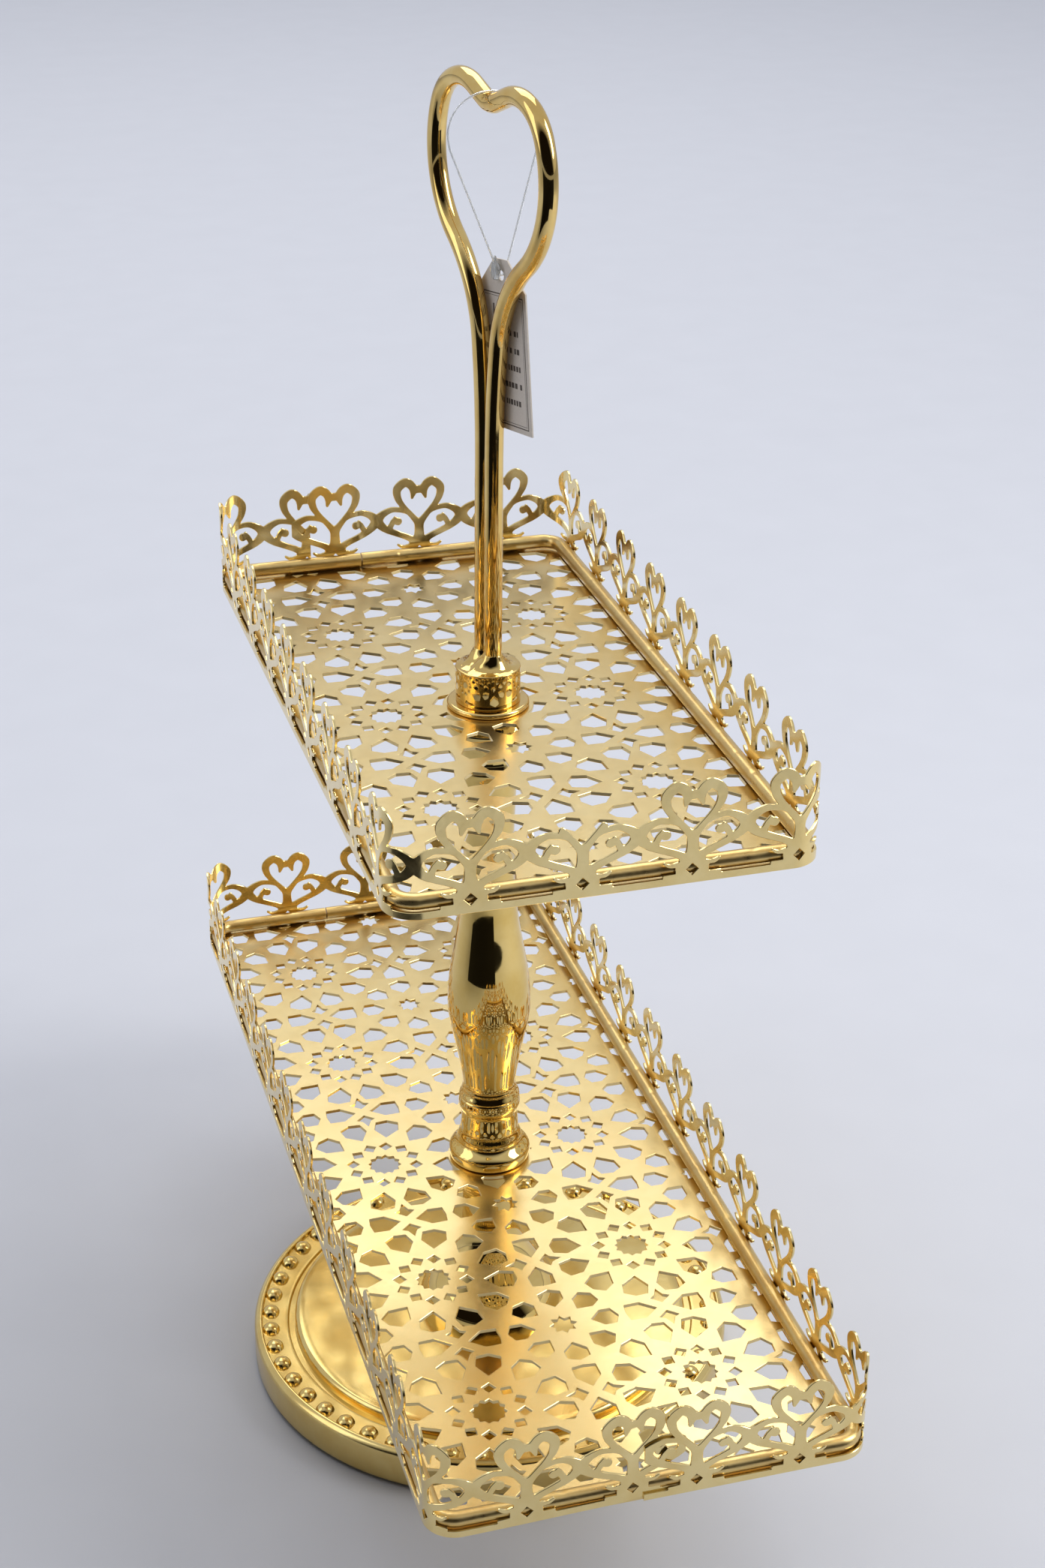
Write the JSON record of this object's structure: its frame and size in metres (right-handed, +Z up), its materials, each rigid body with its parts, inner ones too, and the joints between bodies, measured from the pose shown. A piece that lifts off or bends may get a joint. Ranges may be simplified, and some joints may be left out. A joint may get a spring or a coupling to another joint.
{
  "type": "tiered cake stand",
  "caption": "Rectangular tiered cake stand: round beaded base, turned column, pierced trays with scrollwork galleries, heart-shaped handle.",
  "frame": {"origin": "centre of the underside of the base", "axes": "+Z up along the column, +X across the short side of the trays, +Y along the trays"},
  "size_m": [0.174, 0.373, 0.4649],
  "materials": {
    "plated_base": "mirror gold plating on a spun steel shell",
    "plated_column": "mirror gold plating on spun and turned metal",
    "plated_handle": "mirror gold plating on bent rod",
    "plated_fittings": "gold plating, softly polished",
    "pierced_floor": "satin polished gold plating on pierced sheet",
    "gallery_strip": "gold plating on stamped strip",
    "wire_rail": "gold plating on drawn wire, dulled by handling",
    "steel_hardware": "zinc plated",
    "pad_rubber": "foamed sheet",
    "tag_card": "uncoated grey board",
    "tag_nylon": "clear moulded nylon"
  },
  "bodies": {
    "stand": {"base_shell": "plated_base", "base_weight": "steel_hardware", "base_pad": "pad_rubber", "base_washer": "steel_hardware", "base_bolt": "steel_hardware", "pedestal": "plated_column", "lower_seat_washer": "plated_fittings", "column_foot": "plated_column", "column_ring": "plated_column", "column_baluster": "plated_column", "column_cap": "plated_column", "column_core": "steel_hardware", "upper_seat_washer": "plated_fittings"},
    "lower_tray": {"lower_floor": "pierced_floor", "lower_gallery": "gallery_strip", "lower_rail": "wire_rail"},
    "upper_tray": {"upper_floor": "pierced_floor", "upper_gallery": "gallery_strip", "upper_rail": "wire_rail"},
    "handle": {"handle_washer": "plated_fittings", "handle_collar": "plated_handle", "handle_stud": "steel_hardware", "handle_rod": "plated_handle"},
    "tag": {"tag_card": "tag_card", "tag_loop": "tag_nylon", "tag_lock": "tag_nylon"}
  },
  "joints": [
    {"name": "lower_tray_turn", "type": "hinge", "parent": "stand", "child": "lower_tray", "pos_m": [0, 0, 0.082], "axis": [0, 0, 1], "continuous": true},
    {"name": "upper_tray_turn", "type": "hinge", "parent": "stand", "child": "upper_tray", "pos_m": [0, 0, 0.2595], "axis": [0, 0, 1], "continuous": true},
    {"name": "handle_turn", "type": "hinge", "parent": "stand", "child": "handle", "pos_m": [0, 0, 0.2627], "axis": [0, 0, 1], "continuous": true},
    {"name": "tag_swing", "type": "hinge", "parent": "handle", "child": "tag", "pos_m": [0.0007, -0.0028, 0.457], "axis": [0.247, -0.969, 0], "range_deg": [0, 70]}
  ]
}
